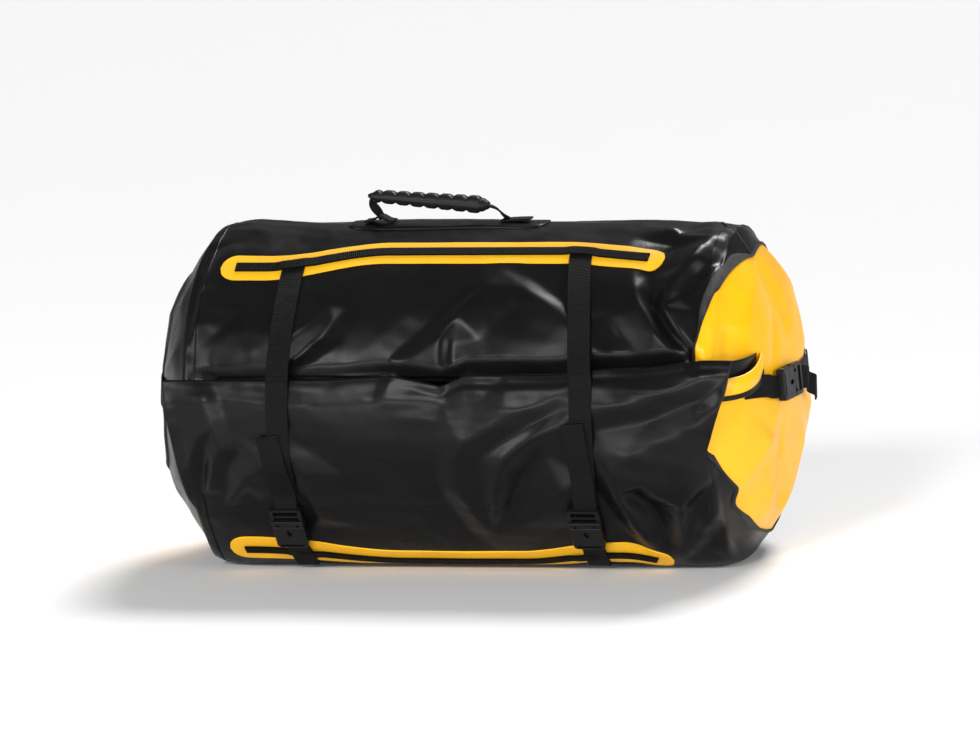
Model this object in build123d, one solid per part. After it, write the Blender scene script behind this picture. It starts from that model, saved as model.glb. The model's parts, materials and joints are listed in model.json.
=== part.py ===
"""A waterproof roll-closure compression sack: a tarpaulin tube with domed ends, lying on its side.

Frame, in millimetres: +Z up, X along the tube, the mouth and its rolled closure at the front (-Y), the
carry handle on top, and the origin on the ground under the middle of the sack.
A place on the tube is given by its angle above the front horizontal and its height off the outer skin.
"""

from build123d import *
import os
from math import asin, atan2, cos, degrees, hypot, radians, sin

# ---------------------------------------------------------------- driving dimensions, mm
body_radius = 182.0
axis_height = 172.0  # the tube's underside is flattened by 10 mm where it rests
half_tube = 280.0  # middle to the seam of either end
dome_rise = 60.0
wall = 1.2
end_disc_radius = 148.0
skin_gap = 0.1  # between layers that are welded or sewn on each other

webbing = 25.0  # width of every strap
web_thick = 1.5

fittings_x = -17.0  # middle of the two lash strips
strap_x = (-180.0, 140.0)
strip_angle = 60.0  # the lash strips lie this far above and below the mouth
strip_length, strip_width, strip_thick = 476.0, 36.0, 1.2
rail_length, rail_width, rail_thick = 442.0, 14.0, 1.4

mouth_length = 500.0
mouth_low, mouth_high = -12.0, 14.0  # angles
roll_low, roll_high = 0.8, 16.6  # angles
roll_base, roll_top = 2.2, 11.2  # heights
roll_half = 312.0
roll_skin = 1.4
stiffener_thick, stiffener_inset = 1.2, 3.6  # its inset is an angle from either edge of the roll
flap_low, flap_foot = -18.0, 2.2  # angle and height of the line that the closure opens about
flap_thick = 1.4
crest = roll_top + skin_gap + flap_thick + 0.4  # height of the straps where they cross the closure

buckle_angle = -37.5  # of the compression buckles' parting line
buckle_lift = 3.4  # underside of a buckle above the skin's tangent plane
buckle_width = 34.0
buckle_thick = 8.4
ladder_length, base_length, socket_length = 17.0, 8.0, 31.5
prong_length = 23.0
knuckle_radius, knuckle_gap = 1.7, 0.15
# Angles round a dome from its middle, towards the back: to each end buckle's parting line, and to where the
# strap from its ladder is sewn down. The left buckle sits further back.
end_buckle_angle = {"right": -9.4, "left": 9.6}
end_anchor_angle = {"right": 9.2, "left": 17.6}
end_tilt = 4.1  # degrees, how far the end fittings are turned up from level about the dome's centre

handle_x = -31.0
grip_middle, grip_height = (-52.7, 24.5)  # along X, and above the top of the tube
grip_length, grip_tilt = 126.0, 4.9
pivot_height = 8.5  # of the handle's folding axis above the top of the tube
foot_left, foot_right = -106.0, 29.0

sphere_radius = (body_radius**2 + dome_rise**2) / (2 * dome_rise)
sphere_x = half_tube + dome_rise - sphere_radius
tube_top = axis_height + body_radius

# Sections across the tube: local x points forwards, local y up, and the extrusion runs along X.
across_tube = Plane(origin=(0, 0, axis_height), x_dir=(0, -1, 0), z_dir=(-1, 0, 0))
# The middle of the right dome's sphere, turned so that local x points at the end fittings' height.
dome = Pos(sphere_x, 0, axis_height) * Rot(0, -end_tilt, 0)


# ---------------------------------------------------------------- shared shapes
def polar(radius, angle):
    return (radius * cos(radians(angle)), radius * sin(radians(angle)))


def band_face(base, stations, thickness):
    """The section of a strip that follows a round skin of radius base through (angle, height) stations.
    Two stations of equal height are joined by an arc, and the others by a straight line."""

    def path(lift):
        edges = []
        for (a, ha), (b, hb) in zip(stations, stations[1:]):
            start, end = polar(base + ha + lift, a), polar(base + hb + lift, b)
            middle = polar(base + ha + lift, (a + b) / 2)
            edges.append(ThreePointArc(start, middle, end) if ha == hb else Line(start, end))
        return edges

    inner, outer = path(0), path(thickness)
    ends = [Line(inner[0] @ 0, outer[0] @ 0), Line(inner[-1] @ 1, outer[-1] @ 1)]
    return make_face(Wire(inner + outer + ends))


def tube_band(stations, thickness, width, x):
    """A strip of that width around the tube, centred on x."""
    face = across_tube * band_face(body_radius, stations, thickness)
    return Pos(x, 0, 0) * extrude(face, width / 2, both=True)


def end_band(stations, thickness, width):
    """A strip of that width across the right end's dome."""
    face = band_face(sphere_radius, stations, thickness)
    return dome * extrude(face, width / 2, both=True)


def tube_layer(outline, angle, height, thickness):
    """A flat outline laid on the tube at an angle, as a layer that follows the skin."""
    inner = Cylinder(body_radius + height, 3 * half_tube)
    outer = Cylinder(body_radius + height + thickness, 3 * half_tube)
    sleeve = Pos(0, 0, axis_height) * Rot(0, 90, 0) * (outer - inner)
    a = radians(angle)
    out = (0, -cos(a), sin(a))
    here = Plane(origin=(0, 0, axis_height), x_dir=(1, 0, 0), z_dir=out)
    return sleeve & extrude(here * outline, body_radius + 20)


def mirrored(part):
    return mirror(part, about=Plane.YZ)


# ---------------------------------------------------------------- the tarpaulin skin
def flat_bottomed(radius, floor):
    """A circle about the tube's axis, cut off level at a height above the ground."""
    keep = Pos(0, floor - axis_height + 2 * radius) * Rectangle(4 * radius, 4 * radius)
    return Circle(radius) & keep


def tube_skin():
    ring = flat_bottomed(body_radius, 0) - flat_bottomed(body_radius - wall, wall)
    tube = extrude(across_tube * ring, half_tube, both=True)
    low = axis_height + body_radius * sin(radians(mouth_low))
    high = axis_height + body_radius * sin(radians(mouth_high))
    outline = Pos(0, (low + high) / 2) * RectangleRounded(mouth_length, high - low, 12)
    return tube - extrude(Plane.XZ.offset(body_radius - 30) * outline, 60)


def end_cap(radius, floor):
    """The solid dome past the right seam, of a given sphere radius, cut off level near the ground."""
    ball = Pos(sphere_x, 0, axis_height) * Sphere(radius)
    keep = Pos(half_tube + 100, 0, floor + 250) * Box(200, 500, 500)
    return ball & keep


def end_skins():
    """The right end's yellow disc and the black margin round it."""
    skin = end_cap(sphere_radius, 0) - end_cap(sphere_radius - wall, wall)
    core = Pos(half_tube + 40, 0, axis_height) * Rot(0, 90, 0) * Cylinder(end_disc_radius, 120)
    return skin & core, skin - core


def seam_tape():
    ring = flat_bottomed(body_radius + 1.6, 0.4) - flat_bottomed(body_radius + skin_gap, -20)
    return Pos(half_tube - 7, 0, 0) * extrude(across_tube * ring, 7, both=True)


def disc_seam():
    """The welded lip where the disc meets the black margin."""
    low, high = (degrees(asin((end_disc_radius + edge) / sphere_radius)) for edge in (-6, 6))
    section = band_face(sphere_radius, [(low, skin_gap), (high, skin_gap)], 1.4)
    return Pos(sphere_x, 0, axis_height) * revolve(section, Axis.X)


# ---------------------------------------------------------------- lash strips, rails and rolled closure
def lash_strip(angle):
    outline = Pos(fittings_x, 0) * SlotOverall(strip_length, strip_width)
    return tube_layer(outline, angle, skin_gap, strip_thick)


def lash_rail(angle):
    outline = Pos(fittings_x, 0) * Rectangle(rail_length, rail_width)
    return tube_layer(outline, angle, 2 * skin_gap + strip_thick, rail_thick)


def closure_roll():
    """The rolled lips of the mouth: a flattened tube that holds the two stiffeners."""
    outer = band_face(body_radius, [(roll_low, roll_base), (roll_high, roll_base)], roll_top - roll_base)
    inset = degrees(roll_skin / body_radius)
    hollow = band_face(
        body_radius,
        [(roll_low + inset, roll_base + roll_skin), (roll_high - inset, roll_base + roll_skin)],
        roll_top - roll_base - 2 * roll_skin,
    )
    return extrude(across_tube * (outer - hollow), roll_half, both=True)


def roll_stiffener(layer):
    height = roll_base + roll_skin + 1.0 + layer * (stiffener_thick + 1.4)
    stations = [(roll_low + stiffener_inset, height), (roll_high - stiffener_inset, height)]
    return tube_band(stations, stiffener_thick, 2 * (roll_half - 4), 0)


def mouth_hem():
    """The strip that stiffens the upper edge of the mouth, inside the skin."""
    height = -wall - skin_gap - 1.8
    return tube_band([(mouth_high + 0.8, height), (mouth_high + 7.0, height)], 1.8, mouth_length, 0)


def closure_flap():
    """The sheet that rises from the lower side of the tube and wraps the roll up to its crest."""
    stations = [(flap_low, flap_foot), (roll_low, roll_top + skin_gap), (roll_high, roll_top + skin_gap)]
    return tube_band(stations, flap_thick, 2 * roll_half, 0)


def closure_end_tab(side):
    """The strap from the end of the closure round the seam to the end buckle."""
    points = [(248.2, -180.2), (269, -176.5), (288, -160)]
    if side == "right":
        points += [(299, -124), (302.0, -84.4)]
    else:
        points += [(300, -122), (311, -60), (314, -20), (313.2, 16.9)]
    path = FilletPolyline(*points, radius=18)
    section = Plane(origin=path @ 0, z_dir=path % 0, x_dir=(0, 0, 1)) * Rectangle(webbing, 2.0)
    return dome * sweep(section, path)


# ---------------------------------------------------------------- side-release buckle
# Local axes: x from the plug into the socket, y across, z out of the sack. The parting line is x = 0.
def buckle_place(angle, on_end):
    a = radians(angle)
    if on_end:
        base = Vector(sphere_radius * cos(a), sphere_radius * sin(a), 0)
        return dome * Plane(origin=base, x_dir=(sin(a), -cos(a), 0), z_dir=(cos(a), sin(a), 0)).location
    base = Vector(0, -body_radius * cos(a), axis_height + body_radius * sin(a))
    return Plane(origin=base, x_dir=(0, -sin(a), -cos(a)), z_dir=(0, -cos(a), sin(a))).location


def block(x0, x1, width, z0, z1):
    """A block from x0 to x1, centred across, between two heights above the skin's tangent plane."""
    return Pos((x0 + x1) / 2, 0, (z0 + z1) / 2) * Box(x1 - x0, width, z1 - z0)


def buckle_socket():
    low, high = buckle_lift, buckle_lift + buckle_thick
    shell = block(0.3, socket_length, buckle_width, low, high)
    shell = fillet(shell.edges().filter_by(Axis.Z).sort_by(Axis.X)[-2:], 5)
    shell = fillet(shell.edges().group_by(Axis.Z)[-1], 1.2)
    throat = block(-1, 24.4, 60, low + 1.6, high - 1.6)
    cheeks = block(20.5, 24.4, 60, low, high) - block(18, 25, 28.4, low - 1, high + 1)
    web_slot = block(26.4, 29.0, webbing + 1, low - 1, high + 1)
    window = Pos(9, 0, high) * extrude(SlotOverall(9, 5), 2, both=True)
    return shell - (throat - cheeks) - web_slot - window


def buckle_plug():
    low, high = buckle_lift, buckle_lift + buckle_thick
    body = block(-base_length, 0, buckle_width, low, high)
    body = fillet(body.edges().group_by(Axis.Z)[-1], 1.0)
    rails = block(-base_length - ladder_length, -base_length + 1, buckle_width, low + 1, high - 2)
    rails = fillet(rails.edges().filter_by(Axis.Z).group_by(Axis.X)[0], 3)
    opening = block(-base_length - ladder_length + 3.4, -base_length, webbing + 1.2, low, high)
    bar = block(-base_length - 7.2, -base_length - 4.4, webbing + 3, low + 1.6, high - 2.6)
    guide = block(-1, 17.5, 5.4, low + 2.4, high - 2.4)
    plug = body + (rails - opening) + bar + guide
    for side in (-1, 1):
        knuckle = Pos(-2.6, side * 10.5, (low + high) / 2) * Cylinder(
            knuckle_radius + knuckle_gap, buckle_thick + 2
        )
        mouth = Pos(-1, side * 10.2, (low + high) / 2) * Box(3.4, 3.9, buckle_thick + 2)
        plug -= knuckle + mouth
    return plug


def buckle_prong(side):
    """One spring prong, whose root turns in the plug and whose pad shows at the socket's edge."""
    low, high = buckle_lift + 1.9, buckle_lift + buckle_thick - 1.9
    root = Pos(-2.6, 10.5) * Circle(knuckle_radius)
    arm = make_face(
        Polyline((-2.6, 9.5), (12, 9.2), (15, 8.6), (prong_length - 1, 9.2), (prong_length, 11.5),
                 (prong_length - 7.8, 17.0), (9, 17.0), (8.2, 12.6), (4, 11.6), (-2.6, 11.5), close=True)
    )
    solid = Pos(0, 0, low) * extrude(root + arm, high - low)
    return solid if side > 0 else mirror(solid, about=Plane.XZ)


def buckle_set(angle, x, on_end=False):
    place = Pos(x, 0, 0) * buckle_place(angle, on_end)
    return {
        "socket": place * buckle_socket(),
        "plug": place * buckle_plug(),
        "prong_a": place * buckle_prong(1),
        "prong_b": place * buckle_prong(-1),
    }


# ---------------------------------------------------------------- webbing
def compression_strap(x):
    """From the upper rail, over the rolled closure, to the ladder of the lower buckle."""
    over_rail = 2 * skin_gap + strip_thick + rail_thick + 0.2
    stations = [
        (strip_angle + 2.2, over_rail), (strip_angle - 2.4, over_rail), (strip_angle - 6.6, 1.6),
        (strip_angle - 9.0, 0.3), (35.0, 0.3), (roll_high + 0.6, crest), (roll_low, crest),
        (flap_low - 0.6, 4.2), (flap_low - 4.0, 0.3), (-31.0, 0.3),
    ]
    return tube_band(stations, web_thick, webbing, x)


def strap_tail(x):
    """The free end that comes back out of the ladder and lies on the strap."""
    stations = [(-31.0, 2.1), (flap_low - 4.4, 2.1), (flap_low - 1.0, 6.2), (-2.0, crest + 0.8)]
    return tube_band(stations, web_thick, webbing, x)


def lower_web(x):
    """The short doubled strap from the socket to the lower rail."""
    over_rail = 2 * skin_gap + strip_thick + rail_thick + 0.2
    stations = [(-47.6, 7.4), (-54.0, 5.0), (-57.6, over_rail), (-61.6, over_rail)]
    return tube_band(stations, 2 * web_thick, webbing, x)


def end_strap(side):
    """From the end buckle's ladder across the dome to its patch."""
    anchor = end_anchor_angle[side]
    stations = [(end_buckle_angle[side] + 2.4, 0.3), (anchor - 1, 0.3), (anchor, 1.5), (anchor + 6.4, 1.5)]
    return end_band(stations, web_thick, webbing)


def end_patch(side):
    anchor = end_anchor_angle[side]
    return end_band([(anchor + 0.4, skin_gap), (anchor + 8.2, skin_gap)], 1.2, 44)


def end_tail(side):
    """The free end of the strap, which springs away from the dome."""
    turn = end_buckle_angle[side]
    stations = [(turn + 2.0, 2.1), (turn + 5.6, 2.1), (turn + 10.0, 7.0), (turn + 14.0, 15.0)]
    return end_band(stations, web_thick, webbing)


# ---------------------------------------------------------------- carry handle
def handle_patch():
    outline = Pos(handle_x, 0) * fillet(Rectangle(215, 56).vertices(), 22)
    return tube_layer(outline, 90, skin_gap, strip_thick)


def handle_anchor(x):
    """The sewn-down end of the handle's webbing."""
    return Pos(x, 0, tube_top + 2.2) * Box(27, 22, web_thick)


def grip_point(along):
    """A point on the grip's middle line, in X and Z, at a distance along it from its middle."""
    t = radians(grip_tilt)
    return (grip_middle + along * cos(t), tube_top + grip_height - along * sin(t))


def handle_web():
    """The webbing inside the grip, with an upright at either end."""
    pivot = tube_top + pivot_height
    left, right = grip_point(-grip_length / 2 - 3), grip_point(grip_length / 2 + 5)
    points = [(foot_left, pivot), (foot_left - 11.0, pivot + 10), left, right, (foot_right, pivot)]
    pieces = []
    for (x0, z0), (x1, z1) in zip(points, points[1:]):
        run = hypot(x1 - x0, z1 - z0)
        width = 16.0 if run > grip_length / 2 else 10.0
        turn = Rot(0, -degrees(atan2(z1 - z0, x1 - x0)), 0)
        pieces.append(Pos((x0 + x1) / 2, 0, (z0 + z1) / 2) * turn * Box(run + 1.6, width, 2.2))
    for x in (foot_left, foot_right):
        pieces.append(Pos(x, 0, pivot) * Rot(0, 90, 0) * Cylinder(5.0, 2.6))
    return Part() + pieces


def handle_grip():
    """A moulded grip with raised blocks between its finger grooves, closed over the webbing."""
    blocks, block_length = 8, 9.6
    core = SlotOverall(19, 11.5)
    body = Plane.YZ.offset(-grip_length / 2) * core
    grip = extrude(body, grip_length)
    pitch = (grip_length - 12) / blocks
    for n in range(blocks):
        start = -grip_length / 2 + 6 + pitch * (n + 0.5) - block_length / 2
        section = Plane.YZ.offset(start) * fillet(Rectangle(20.4, 16.4).vertices(), 5.5)
        grip += extrude(section, block_length)
    grip -= Box(2 * grip_length, 16.6, 2.8)
    x, z = grip_point(0)
    return Pos(x, 0, z) * Rot(0, grip_tilt, 0) * grip


# ---------------------------------------------------------------- all nodes
def all_nodes():
    disc, margin = end_skins()
    skins = {"end_disc": disc, "end_margin": margin, "seam_tape": seam_tape(), "disc_seam": disc_seam()}
    nodes = {
        "tube_skin": tube_skin(), "mouth_hem": mouth_hem(),
        "lash_strip_upper": lash_strip(strip_angle), "lash_strip_lower": lash_strip(-strip_angle),
        "lash_rail_upper": lash_rail(strip_angle), "lash_rail_lower": lash_rail(-strip_angle),
        "closure_flap": closure_flap(), "closure_roll": closure_roll(),
        "roll_stiffener_inner": roll_stiffener(0), "roll_stiffener_outer": roll_stiffener(1),
        "handle_patch": handle_patch(), "handle_anchor_left": handle_anchor(foot_left),
        "handle_anchor_right": handle_anchor(foot_right + 13), "handle_web": handle_web(),
        "handle_grip": handle_grip(),
    }
    for side in ("right", "left"):
        end = dict(skins)
        end["closure_end_tab"] = closure_end_tab(side)
        end["end_strap"] = end_strap(side)
        end["end_patch"] = end_patch(side)
        end["end_strap_tail"] = end_tail(side)
        for name, part in buckle_set(end_buckle_angle[side], 0, on_end=True).items():
            end["end_" + name] = part
        for name, part in end.items():
            nodes[name + "_" + side] = part if side == "right" else mirrored(part)
    for side, x in zip(("left", "right"), strap_x):
        nodes["compression_strap_" + side] = compression_strap(x)
        nodes["strap_tail_" + side] = strap_tail(x)
        nodes["lower_web_" + side] = lower_web(x)
        for name, part in buckle_set(buckle_angle, x).items():
            nodes["strap_" + name + "_" + side] = part
    return nodes


def main():
    os.makedirs("parts", exist_ok=True)
    for name, part in all_nodes().items():
        export_step(part, f"parts/{name}.step")


main()
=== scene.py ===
"""The looks of a roll-closure compression sack that lies on its side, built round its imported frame.

Places on the tube are (x, angle, height): x along the tube in millimetres, the angle above the front
horizontal in degrees, and the height above the tube's outer skin in millimetres.
Places on an end are (reach, angle): the distance from the end's middle along the cloth, and the same angle.
"""

import json
from math import cos, pi, radians, sin, sqrt

import bpy
import numpy as np
from mathutils import Matrix, Vector
from mathutils.geometry import delaunay_2d_cdt


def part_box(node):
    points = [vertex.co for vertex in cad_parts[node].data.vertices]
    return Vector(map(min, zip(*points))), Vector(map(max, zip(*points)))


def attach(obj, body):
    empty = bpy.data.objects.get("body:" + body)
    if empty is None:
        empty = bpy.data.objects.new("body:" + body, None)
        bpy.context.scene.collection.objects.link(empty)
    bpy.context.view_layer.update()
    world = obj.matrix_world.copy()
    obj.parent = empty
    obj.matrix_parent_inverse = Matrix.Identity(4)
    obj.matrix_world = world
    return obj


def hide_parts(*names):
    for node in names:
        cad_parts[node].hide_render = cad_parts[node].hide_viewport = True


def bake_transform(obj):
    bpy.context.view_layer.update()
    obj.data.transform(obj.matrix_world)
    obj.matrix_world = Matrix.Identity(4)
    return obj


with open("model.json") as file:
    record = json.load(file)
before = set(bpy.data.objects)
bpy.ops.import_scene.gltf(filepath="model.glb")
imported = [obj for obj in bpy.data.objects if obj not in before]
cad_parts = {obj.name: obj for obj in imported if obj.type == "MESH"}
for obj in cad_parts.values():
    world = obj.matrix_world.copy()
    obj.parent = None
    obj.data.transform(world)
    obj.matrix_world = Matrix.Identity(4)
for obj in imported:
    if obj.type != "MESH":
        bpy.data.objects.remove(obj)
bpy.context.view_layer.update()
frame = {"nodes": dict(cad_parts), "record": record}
MM = 0.001
SIDES = {"left": -1, "right": 1}


# ---------------------------------------------------------------- sizes from the frame, in mm
def span(node):
    """The middle of a node along X, and half its length."""
    low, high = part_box(node)
    return (low.x + high.x) / 2 / MM, (high.x - low.x) / 2 / MM


tube_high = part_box("tube_skin")[1]
RADIUS = tube_high.y / MM
HALF_TUBE = tube_high.x / MM
TOP = tube_high.z / MM
AXIS_HEIGHT = TOP - RADIUS
DOME_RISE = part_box("end_disc_right")[1].x / MM - HALF_TUBE
DOME_RADIUS = (RADIUS**2 + DOME_RISE**2) / (2 * DOME_RISE)
DOME_MIDDLE = HALF_TUBE + DOME_RISE - DOME_RADIUS
DOME_DEGREE = 5.34  # length of one degree round the dome
ROLL_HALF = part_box("closure_roll")[1].x / MM
STRIP_X, STRIP_HALF = span("lash_strip_upper")
RAIL_HALF = span("lash_rail_upper")[1]
STRAP_X = {side: span("compression_strap_" + side)[0] for side in SIDES}
WEBBING = 2 * span("compression_strap_left")[1]

RIM_TAPER_START, RIM_TAPER = 244.0, 7.0  # where the tube starts to round into its ends, and by how much
RIM = HALF_TUBE + 1
RIM_REACH = RADIUS - RIM_TAPER  # reach at which an end's cloth passes from the dome to the tube
MOUTH = (-12.0, 14.0)  # angles of the slot's lower and upper edge
MOUTH_HALF = 246.0
FLAP_FOOT = -36.0  # angle where the closure's cloth sinks into the tube's
HINGE_ANGLE = -18.0  # angle of the line that the closure opens about
FLAP_LIFT = 11.6  # how far the closure stands off the tube at its crest
CREST_RADIUS = 2.6
CLOTH = 1.2  # thickness of the tarpaulin


def smooth(t):
    t = np.clip(t, 0.0, 1.0)
    return t * t * (3 - 2 * t)


def between(value, low, high):
    """0 below low, 1 above high, smooth in between."""
    return smooth((value - low) / (high - low))


# ---------------------------------------------------------------- folds of the cloth
def fold_height(x, arc, points, height, left_width, right_width):
    """A fold along the points. Its height falls off over one width on its left and another on its right."""
    best = np.full(np.shape(x), 1e9)
    side = np.zeros(np.shape(x))
    along = np.zeros(np.shape(x))
    lengths = [np.hypot(bx - ax, bs - as_) for (ax, as_), (bx, bs) in zip(points, points[1:])]
    done = 0.0
    for ((ax, as_), (bx, bs)), length in zip(zip(points, points[1:]), lengths):
        ux, us = (bx - ax) / length, (bs - as_) / length
        t = np.clip((x - ax) * ux + (arc - as_) * us, 0, length)
        dx, ds = x - ax - t * ux, arc - as_ - t * us
        d = np.hypot(dx, ds)
        nearer = d < best
        best = np.where(nearer, d, best)
        side = np.where(nearer, ux * ds - us * dx, side)
        along = np.where(nearer, done + t, along)
        done += length
    share = along / done
    fade = smooth(share / 0.22) * smooth((1 - share) / 0.22)
    widths = np.where(side > 0, left_width, right_width)
    roundness = 2.2
    away = np.sqrt(best**2 + roundness**2) - roundness
    return height * (0.25 + 0.75 * fade) * np.exp(-away / widths)


def waves(x, arc, size, seed, stretch=1.0):
    """Smooth wandering between about -1 and 1, with features of about that size."""
    count = 7
    draw = np.random.default_rng(seed)
    total = np.zeros(np.shape(x))
    for _ in range(count):
        turn = draw.uniform(0, pi)
        pace = 2 * pi / (size * draw.uniform(0.7, 1.6))
        total = total + np.sin(pace * (x / stretch * cos(turn) + arc * sin(turn)) + draw.uniform(0, 2 * pi))
    return total / sqrt(count)


# Creases of the cloth: each is a line of (x, angle, height) points. The cloth lies in flat facets between.
CORNER_CREASES = [
    [(176, -15, 7), (193, -11, 5), (225, -7, 4), (270, -1, 3), (297, 6, 2)],
    [(176, -15, 7), (210, -20, 7), (245, -29, 6)],
    [(176, -15, 7), (178, -23, 8), (188, -31, 8), (199, -43, 6), (221, -61, 1)],
    [(193, -26, -6), (208, -34, -9), (218, -44, -6)],
    [(297, 6, 2), (282, -9, 4), (245, -29, 6)],
    [(245, -29, 6), (239, -46, 2), (221, -61, 1)],
    [(160, -17, 0), (164, -28, -3), (180, -45, -3), (200, -57, -1)],
    [(259, -29, -4), (243, -46, -2)],
    [(221, -61, 1), (265, -39, 4), (281, -33, 5)],
    [(257, -52, -2), (281, -44, -3)],
    [(164, 4, 2), (216, 7, 3), (271, 13, 3), (314, 17, 2)],
    [(163, -2, -3), (216, 1, -5), (271, 7, -4), (299, 12, -1)],
]
MIDDLE_CREASES = [
    [(129, 9, 2), (63, 1, 4), (20, -7, 6), (10, -13, 6), (13, -25, 5), (27, -36, 4), (39, -43, 2)],
    [(124, 4, -1), (67, -5, 0), (36, -12, -1), (33, -20, -1), (35, -31, 0)],
    [(128, -1, 3), (94, -5, 6), (67, -11, 8), (56, -18, 8), (48, -29, 6), (39, -43, 2)],
    [(103, -11, -6), (78, -21, -9), (62, -32, -5)],
    [(39, -43, 2), (69, -38, 3), (107, -30, 4), (122, -24, 3)],
    [(-11, -10, 0), (-13, -20, -2), (-2, -34, -3), (13, -44, -2)],
    [(146, -6, -3), (147, -18, -3)],
]
LEFT_CREASES = [
    [(-250, -35, 2), (-218, -20, 4), (-198, -15, 5)],
    [(-220, -25, -2), (-204, -30, -3)],
    [(-265, -6, 3), (-278, -16, 5), (-281, -27, 4)],
    [(-257, -7, -2), (-265, -16, -4), (-270, -27, -3)],
    [(-254, 6, 2), (-248, -1, 3), (-239, -9, 2)],
    [(-239, 7, -1), (-229, -3, -3), (-224, -11, -3)],
    [(-151, -8, -4), (-162, -5, -3)],
    [(-170, -11, 2), (-157, -17, 3), (-152, -25, 3), (-147, -36, 2)],
    [(-173, -20, -2), (-168, -32, -3), (-160, -43, -3)],
    [(-249, -14, 3), (-259, -24, 3)],
    [(-239, -16, -3), (-245, -26, -3)],
]
UPPER_CREASES = [
    [(48, 55, 1), (39, 46, 4), (11, 35, 5), (-3, 28, 5), (-27, 23, 3), (-46, 18, 2)],
    [(-3, 28, 5), (-3, 17, 3)],
    [(6, 26, -1), (8, 17, -1)],
    [(25, 54, 0), (5, 42, -3), (-23, 31, -3), (-61, 20, -2)],
    [(48, 55, 1), (77, 46, 2), (123, 35, 2), (158, 25, 1)],
    [(82, 52, -2), (114, 44, -4), (145, 34, -3)],
    [(-128, 39, 2), (-147, 32, 4), (-165, 27, 4)],
    [(-122, 34, -2), (-139, 27, -4), (-156, 22, -3)],
    [(-134, 21, 2), (-153, 17, 3)],
    [(-259, 49, 1), (-272, 45, 2)],
    [(-219, 30, 2), (-206, 23, 2)],
    [(-273, 68, -3), (-278, 52, -4), (-281, 38, -4), (-281, 24, -2)],
    [(-257, 58, 2), (-266, 46, 3), (-272, 31, 3)],
    [(-225, 84, 1), (-181, 72, -2), (-155, 81, 1)],
]
SHOULDER_CREASES = [
    [(192, 52, 2), (198, 44, 4), (206, 38, 5), (223, 30, 5), (248, 22, 3)],
    [(208, 52, -4), (216, 42, -8), (237, 31, -8), (263, 23, -5)],
    [(169, 35, -3), (181, 30, -3)],
    [(226, 38, 4), (264, 37, 3)],
    [(226, 38, 4), (235, 48, 6), (254, 58, 7), (265, 71, 4), (256, 86, 0), (249, 99, -1)],
    [(213, 62, -5), (223, 71, -6), (234, 83, -4), (235, 99, -2)],
    [(246, 43, -3), (258, 52, -4), (276, 60, -2)],
    [(222, 78, 3), (230, 74, 1)],
    [(226, 38, 4), (245, 29, 2), (270, 22, 2)],
    [(262, 42, 2), (273, 51, 3)],
]
BACK_CREASES = [
    [(-276, 118, 4), (-240, 128, 5), (-180, 132, 3), (-120, 127, 1)],
    [(-262, 140, -4), (-210, 144, -3), (-150, 140, -1)],
    [(276, 112, 4), (240, 126, 6), (196, 140, 4), (160, 152, 1)],
    [(270, 136, -5), (226, 150, -4), (190, 162, -2)],
    [(-276, 172, 5), (-232, 165, 6), (-176, 163, 3), (-130, 168, 1)],
    [(-270, 188, -4), (-222, 182, -4), (-160, 180, -1)],
    [(276, 176, 3), (232, 180, 6), (180, 178, 5), (120, 184, 2)],
    [(262, 196, -4), (210, 194, -4), (150, 196, -2)],
    [(-276, 208, 4), (-226, 216, 5), (-160, 212, 3)],
    [(276, 222, 4), (230, 212, 5), (170, 202, 2)],
    [(-70, 140, 1), (-20, 146, 3), (50, 142, 3), (96, 134, 1)],
    [(-50, 190, 1), (10, 198, 3), (70, 196, 3), (120, 206, 1)],
    [(-30, 166, -2), (40, 170, -3), (100, 164, -1)],
]
CREASES = CORNER_CREASES + MIDDLE_CREASES + LEFT_CREASES + UPPER_CREASES + SHOULDER_CREASES + BACK_CREASES
CREASE_DEPTH = 1.45  # multiplies the heights above
CREASE_SOFTNESS = 1.3  # how far a crease is rounded, in cells
CELL = 2.0  # of the grid that holds the cloth's heights
FACET_HALF = 324.0  # the grid's reach along x
FACET_ANGLES = (-120.0, 240.0)  # the grid's reach round the tube


def unrolled(x, angle):
    """A place on the tube as a point of its cloth laid out flat."""
    return Vector((x, RADIUS * radians(angle)))


def distance_to_creases(point):
    best = 1e9
    for crease in CREASES:
        for start_corner, end_corner in zip(crease, crease[1:]):
            start = unrolled(*start_corner[:2])
            run = unrolled(*end_corner[:2]) - start
            t = min(1, max(0, (point - start).dot(run) / run.length_squared))
            best = min(best, (start + run * t - point).length)
    return best


def facet_corners(low_arc, high_arc):
    """The corners of the facets: the creases' own points, and level ones in an open grid clear of them."""
    points, heights, edges = [], [], []
    for crease in CREASES:
        for k, (x, angle, height) in enumerate(crease):
            if k:
                edges.append((len(points) - 1, len(points)))
            points.append(unrolled(x, angle))
            heights.append(CREASE_DEPTH * height)
    spacing, clearance = 36.0, 19.0
    for x in np.arange(-FACET_HALF, FACET_HALF + 1, spacing):
        for arc in np.arange(low_arc, high_arc + spacing, spacing):
            arc = min(arc, high_arc)
            if distance_to_creases(Vector((x, arc))) > clearance:
                points.append(Vector((x, arc)))
                heights.append(0.0)
    return points, heights, edges


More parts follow.
